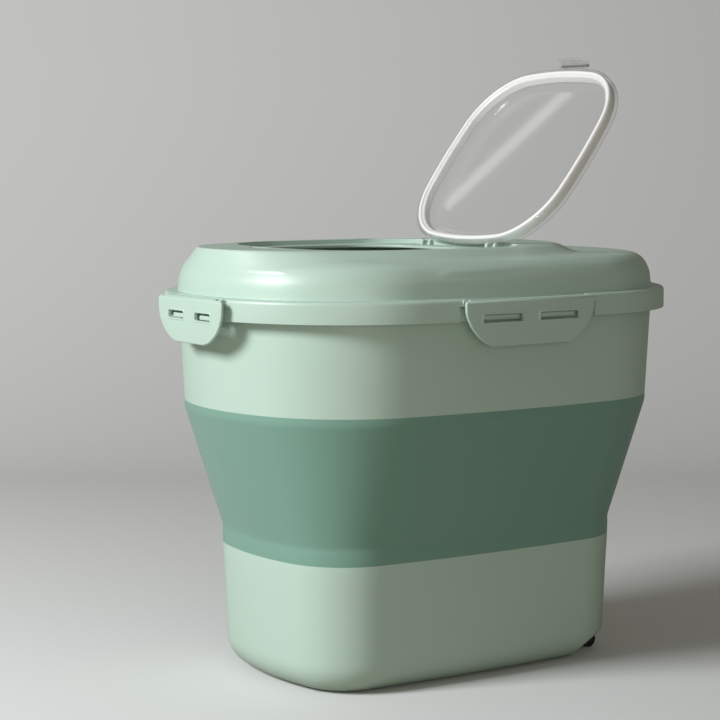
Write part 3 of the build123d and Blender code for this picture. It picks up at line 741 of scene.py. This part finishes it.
def make_lid():
    top_edge = level(MOUND_TOP, 0, 0, MOUND_TOP_X)
    crown_side = [level(RIM, z, d) for d, z in CROWN_CURVE if z > CROWN_SIDE_Z and d < CROWN_SIDE_IN]
    rim = rounded([
        (level(RIM, RIM_BOTTOM, RIM_WALL), 0),
        (level(RIM, RIM_BOTTOM), 0.6),
        (level(RIM, LEDGE_TOP), 3.0),
        (level(RIM, LEDGE_TOP, CROWN[0][0]), 0.4),
        (crown_side[0], 0),
    ], steps=6)
    start = level(RIM, 0, SHOULDER_IN)
    shoulder = [start] + between(start, top_edge, 40) + [top_edge]
    rings = rim + crown_side[1:] + [over_lid(r) for r in shoulder]
    rings += [over_lid(level(MOUND_TOP, 0, d, MOUND_TOP_X)) for d in (0.7, 1.5, 2.4)]
    rings += rounded([
        (level(RECESS, MOUND_TOP_Z, -1.0, RECESS_X), 0),
        (level(RECESS, MOUND_TOP_Z, 0, RECESS_X), 0.7),
        (level(RECESS, SEAT_Z, 0, RECESS_X), 0.8),
        (level(COVER, SEAT_Z, OPENING_IN, COVER_X), 0.8),
        (level(COVER, SEAT_Z - SEAT_T, OPENING_IN, COVER_X), 0.8),
        (level(RECESS, SEAT_Z - SEAT_T, -SEAT_T, RECESS_X), 0),
        (level(RECESS, MOUND_TOP_Z - PLATFORM_T, -SEAT_T, RECESS_X), 0),
        (level(MOUND_TOP, MOUND_TOP_Z - PLATFORM_T, 1.6, MOUND_TOP_X), 0),
    ])
    under = between(level(MOUND_TOP, 0, 1.8, MOUND_TOP_X), level(RIM, 0, 15.4), 30)
    rings += [over_lid(r, CROWN_T) for r in under]
    rings += [level(RIM, z, d) for z, d in LID_ROOM]
    lid = shell("lid_skin", rings)
    cut_trough(lid)
    extras = []
    for kind, side, sign in latch_spots():
        extras += seat_latch(lid, kind, side, sign)
    front, back, side_room, depth = CLIP_SLOT
    half = CLIP_HALF + side_room
    cut(lid, [box(CLIP_X - front, CLIP_X + back, -half, half, CLIP_Z - depth, MOUND_TOP_Z + 1.9)])
    for s in (1, -1):
        for side in (1, -1):
            mid = s * (KNUCKLE_Y + side * (KNUCKLE_W / 2 + SIDE_GAP + CHEEK_W / 2))
            extras.append(hinge_plate(HINGE_X, HINGE_Z, mid - CHEEK_W / 2, mid + CHEEK_W / 2, HINGE_R, SEAT_Z - 0.3))
    return join(lid, extras)


def cut_trough(lid):
    """The trough behind the seat that the open cover's edge lies in, with its own floor under it."""
    hollow = [level(RECESS, z, 0, RECESS_X) for z in (TROUGH_Z, SEAT_Z + 0.5)]
    floor = [level(RECESS, z, -SEAT_T, RECESS_X) for z in (TROUGH_Z - SEAT_T, SEAT_Z - 1.5)]
    for rings, front, operation in ((floor, TROUGH_FRONT - SEAT_T, "UNION"), (hollow, TROUGH_FRONT, "DIFFERENCE")):
        piece = cut(shell("trough", rings, capped=True), [box(-200, front, -120, 120, 300, 330)])
        combine(lid, [piece], operation)


def seat_latch(lid, kind, side, sign):
    half = RIM[1] if side else RIM[0]
    axis = half - LATCH_AXIS_INSET
    bar, wide, far = kind["barrel"] + SIDE_GAP, kind["notch"], half + NOTCH_OUT
    low, high = RIM_BOTTOM - 1, LEDGE_TOP + 1
    cut(lid, [
        across(side, sign, axis - LATCH_BARREL_R - BARREL_ROOM, far, -bar, bar, low, high),
        across(side, sign, axis + NOTCH_BACK, far, -wide, wide, low, high),
        across(side, sign, half - NOTCH_DEPTH, far, -wide, wide, low, LATCH_AXIS_Z - NOTCH_DROP),
    ])
    cheeks = []
    for s in (-1, 1):
        ends = [(s * t, sign * axis) if side else (sign * axis, s * t) for t in (bar, bar + LATCH_CHEEK)]
        cheeks.append(soften(rod((*ends[0], LATCH_AXIS_Z), (*ends[1], LATCH_AXIS_Z), LATCH_BARREL_R), 0.3))
    return cheeks


def hinge_plate(x, z, y0, y1, radius, foot):
    """A plate with a round head at (x, z) that stands on a height."""
    turns = np.linspace(0, math.pi, 14)
    head = [(x + radius * math.cos(t), z + radius * math.sin(t)) for t in turns]
    loop = head + [(x - radius, foot), (x + radius, foot)]
    rings = [np.array([(px, y, pz) for px, pz in loop]) for y in (y0, y1)]
    return soften(shell("plate", rings, capped=True), 0.35, 2)


# Latches: a plate with rounded edges on a straight barrel, with a raised rim round each slot
def latch_loop(kind):
    """The latch's outline as distance along the rim and height."""
    end, r = kind["edge"][0][0], kind["corner"]
    turns = np.radians(np.linspace(90, 0, 8))
    corner = np.column_stack([end - r + r * np.cos(turns), LATCH_END_Z - r + r * np.sin(turns)])
    edge = smooth_curve(kind["edge"], 5) * (1, -1) + (0, LATCH_TOP)
    half = np.concatenate([corner, edge])
    return np.concatenate([half, half[::-1] * (-1, 1)])


def moved_in(loop, distance):
    ahead = np.roll(loop, -1, 0) - np.roll(loop, 1, 0)
    normal = np.column_stack([ahead[:, 1], -ahead[:, 0]]) / np.linalg.norm(ahead, axis=1)[:, None]
    inward = np.sign(np.sum((loop.mean(0) - loop) * normal))
    return loop + normal * inward * distance


def slot_loop(kind, s, grow):
    """A slot's rounded rectangle, grown by a distance."""
    w, h, r = kind["slot_w"] / 2 + grow, SLOT_H / 2 + grow, SLOT_R + grow
    made = []
    for k in range(4):
        turns = np.radians(np.linspace(90 * k, 90 * k + 90, 7))
        at = ((w - r) * (1, -1, -1, 1)[k], (h - r) * (1, 1, -1, -1)[k])
        made += [(at[0] + r * math.cos(t), at[1] + r * math.sin(t)) for t in turns]
    return np.array(made) + (s * kind["slot"], SLOT_Z)


def upright(loop, depth, side, sign):
    """A loop of distances along the rim and heights, stood up at a depth out from the middle."""
    flat = np.full(len(loop), sign * depth)
    return np.column_stack([loop[:, 0], flat, loop[:, 1]] if side else [flat, loop[:, 0], loop[:, 1]])


def along(side, sign, depth, t0, t1, z, radius):
    """A rod along the rim."""
    ends = [(t, sign * depth, z) if side else (sign * depth, t, z) for t in (t0, t1)]
    return rod(*ends, radius, 40)


def make_latch(kind, side, sign):
    face = (RIM[1] if side else RIM[0]) + LATCH_PROUD
    axis = face - LATCH_PROUD - LATCH_AXIS_INSET
    bar, end = kind["barrel"], kind["edge"][0][0] + 1
    loop = latch_loop(kind)
    turns = np.radians(np.linspace(0, 90, 6))
    back = face - LATCH_T
    profile = [(LATCH_BACK_R, back), (0.3 * LATCH_BACK_R, back + 0.3 * LATCH_BACK_R), (0, back + LATCH_BACK_R)]
    profile += [(LATCH_EDGE_R * (1 - math.cos(t)), face - LATCH_EDGE_R * (1 - math.sin(t))) for t in turns]
    latch = shell("latch", [upright(moved_in(loop, d), depth, side, sign) for d, depth in profile], capped=True)
    brow = across(side, sign, axis, face - BROW_IN, -bar, bar, LATCH_AXIS_Z - LATCH_BARREL_R, LATCH_TOP)
    combine(latch, [brow], "UNION")
    low = LATCH_TOP - LATCH_TOP_R
    corner = across(side, sign, face - LATCH_TOP_R, face + 1, -end, end, low, LATCH_TOP + 1)
    cut(latch, [cut(corner, [along(side, sign, face - LATCH_TOP_R, -end - 1, end + 1, low, LATCH_TOP_R)])])
    combine(latch, [along(side, sign, axis, -bar, bar, LATCH_AXIS_Z, LATCH_BARREL_R)], "UNION")
    beads = []
    for s in (-1, 1):
        slot = slot_loop(kind, s, SLOT_GROW)
        cut(latch, [
            along(side, sign, axis, s * bar, s * (end + 1), LATCH_AXIS_Z, LATCH_CLEAR_R),
            across(side, sign, axis - 5, face + 1, s * bar, s * (end + 1), LATCH_END_Z, LATCH_TOP + 1),
            shell("slot", [upright(slot, d, side, sign) for d in (face - 6, face + 2)], capped=True),
        ])
        beads.append(shell("bead", [upright(slot_loop(kind, s, grow), face + d, side, sign) for grow, d in BEAD]))
    cut(latch, [along(side, sign, axis, -bar - 1, bar + 1, LATCH_AXIS_Z, LATCH_BORE_R)])
    return join(latch, beads)


# Flip cover and its seal, drawn shut and swung open about the hinge
def opened(obj):
    hinge = Vector((HINGE_X, 0, HINGE_Z)) * MM
    turn = Matrix.Rotation(math.radians(COVER_OPEN), 4, "Y")
    obj.data.transform(Matrix.Translation(hinge) @ turn @ Matrix.Translation(-hinge))
    return obj


def cover_rings(profile):
    return [(level(COVER, z, d, COVER_X), radius) for z, d, radius in profile]


def make_cover():
    cover = shell("flip_cover_skin", rounded(cover_rings(COVER_PROFILE)), capped=True)
    plates = []
    for s in (1, -1):
        ys = s * KNUCKLE_Y - KNUCKLE_W / 2, s * KNUCKLE_Y + KNUCKLE_W / 2
        root = COVER_X + COVER[0] + ARM_SHORT
        plates.append(hinge_arm(HINGE_X, HINGE_Z, ys, HINGE_R, root, HINGE_Z - 1.6, HINGE_Z + HINGE_R))
        ys = s * (CLIP_HALF + SIDE_GAP), s * (CLIP_HALF + SIDE_GAP + EAR_W)
        root = COVER_X - COVER[0] - ARM_SHORT
        plates.append(hinge_arm(CLIP_X, CLIP_Z, ys, EAR_R, root, CLIP_Z - 2.2, CLIP_Z + 1.0))
    return opened(join(cover, plates))


def hinge_arm(x, z, ys, radius, root, low, high):
    """A plate with a round head at (x, z) that runs to the cover's wall at root."""
    way = math.copysign(1, x - root)
    turns = np.linspace(-1.9, 1.9, 18)
    head = [(x + way * radius * math.cos(t), z + radius * math.sin(t)) for t in turns]
    loop = head + [(root, high), (root, low)]
    rings = [np.array([(px, y, pz) for px, pz in loop]) for y in sorted(ys)]
    return soften(shell("arm", rings, capped=True), 0.3, 2)


def make_seal():
    foot = SEAL_PLANE + SEAL_LIP_DROP
    lip = [(foot - SEAL_LIP_DROP * math.sin(t), SEAL_LIP_IN + SEAL_LIP_R * (1 - math.cos(t)), 0)
           for t in np.radians(np.linspace(0, 180, 13))]
    profile = cover_rings([(SEAL_TOP, SEAL_LIP_IN, 0.5), *lip, *SEAL_PROFILE])
    return opened(shell("flip_seal_skin", rounded(profile, closed=True)))


# Studio
def stage_floor():
    """A pale floor that sweeps up into a pale wall behind the bin, square to the camera."""
    heading = math.radians(CAMERA_HEADING)
    turns = np.radians(np.linspace(0, 90, 20))
    line = [(PAPER_NEAR, 0.0), (SWEEP_START, 0.0)]
    line += [(SWEEP_START + SWEEP_R * math.sin(t), SWEEP_R * (1 - math.cos(t))) for t in turns[1:]]
    line.append((SWEEP_START + SWEEP_R, PAPER_TOP))
    points, faces = [], []
    for d, z in line:
        for w in (-PAPER_HALF, PAPER_HALF):
            x = -math.sin(heading) * d + math.cos(heading) * w
            y = math.cos(heading) * d + math.sin(heading) * w
            points.append((x / MM, y / MM, z / MM))
    for i in range(len(line) - 1):
        faces.append((2 * i, 2 * i + 1, 2 * i + 3, 2 * i + 2))
    floor = new_object("studio_floor", points, faces)
    floor.data.shade_smooth()
    material, nodes, links, skin = node_material("studio_paper")
    coords = nodes.new("ShaderNodeTexCoord").outputs["Object"]
    paper = noise(nodes, links, coords, scale=300.0, detail=4.0)
    bumped(nodes, links, skin, paper, strength=0.1, distance=0.0002)
    # The paper is pale where it is looked at, and bounces less light onto the bin than that
    seen = nodes.new("ShaderNodeLightPath").outputs["Is Camera Ray"]
    two_tone(nodes, links, skin, seen, STUDIO_DIM, STUDIO)
    skin.inputs["Roughness"].default_value = 0.85
    floor.data.materials.append(material)


def softbox(name, place, target, size, power, colour=(1, 1, 1), roll=0.0):
    light = bpy.data.lights.new(name, "AREA")
    light.color = colour
    light.shape = "RECTANGLE"
    light.size, light.size_y = size
    light.energy = power
    obj = bpy.data.objects.new(name, light)
    obj.location = place
    aim = (Vector(target) - Vector(place)).to_track_quat("-Z", "Y")
    obj.rotation_euler = (aim.to_matrix() @ Matrix.Rotation(math.radians(roll), 3, "Z")).to_euler()
    bpy.context.scene.collection.objects.link(obj)


def set_studio():
    stage_floor()
    softbox("key", (-1.97, 0.12, 1.25), (0, 0, 0.2), size=(0.65, 0.65), power=54.0, colour=COOL)
    softbox("fill", (-1.0, -2.0, 0.45), (0, 0, 0.25), size=(1.2, 0.7), power=7.0, colour=WARM)
    softbox("streak", (-0.136, 1.212, 1.283), (0.107, 0.026, 0.398), size=(0.27, 0.015), power=0.022, roll=113.8)
    world = bpy.data.worlds.new("studio")
    bpy.context.scene.world = world
    world.use_nodes = True
    background = world.node_tree.nodes["Background"]
    background.inputs["Color"].default_value = (*ROOM_LIGHT, 1)
    background.inputs["Strength"].default_value = 0.17
    camera = bpy.data.cameras.new("camera")
    camera.lens = CAMERA_LENS
    camera.sensor_width = 36.0
    camera.clip_end = 50.0
    obj = bpy.data.objects.new("camera", camera)
    obj.location = CAMERA_PLACE
    obj.rotation_euler = (math.radians(CAMERA_TILT), 0, math.radians(CAMERA_HEADING))
    bpy.context.scene.collection.objects.link(obj)
    bpy.context.scene.camera = obj
    bpy.context.scene.view_settings.view_transform = "Standard"


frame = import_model()

sage = moulded("sage_plastic", SAGE, shade=0.95, roughness=0.37, spread=0.04, grain=2600.0, depth=0.00006)
teal = moulded("teal_elastomer", TEAL, shade=0.93, roughness=0.58, spread=0.05, grain=1900.0, depth=0.00009,
               specular=0.4, sheen=0.2)
silicone = moulded("white_silicone", SILICONE, shade=0.97, roughness=0.36, spread=0.05, grain=1500.0, depth=0.00004,
                   glow=0.6)
black = moulded("black_wheel", BLACK, shade=0.7, roughness=0.5, spread=0.08, grain=1200.0, depth=0.0001)
clear = clear_plastic("clear_plastic")
pin = steel("drawn_steel")

# Nodes that no skin replaces keep their own shape: the last word found in a node's name picks its material
skins = {"wheel": black, "clip": clear, "gasket": silicone, "pin": pin, "axle": black}
for name, node in frame["nodes"].items():
    found = [m for word, m in skins.items() if word in name]
    node.data.materials.clear()
    node.data.materials.append(found[-1] if found else sage)

latches = zip(("front_latch", "rear_latch", "right_latch", "left_latch"), latch_spots())
for name, (kind, side, sign) in latches:
    latch = dress(make_latch(kind, side, sign), sage)
    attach(latch, name)
    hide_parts(name)

for make, body, node, material, slot in (
    (make_base, "base", "base_shell", sage, "shell"),
    (make_frame, "upper", "upper_frame", sage, "shell"),
    (make_lid, "lid", "main_lid", sage, "shell"),
    (make_cover, "cover", "flip_cover", clear, "clear"),
    (make_seal, "cover", "flip_seal", silicone, "seal"),
):
    piece = dress(make(), material)
    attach(piece, body)
    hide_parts(node)

band = dress(make_band(), teal)
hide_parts("fold_band")
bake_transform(band)

set_studio()
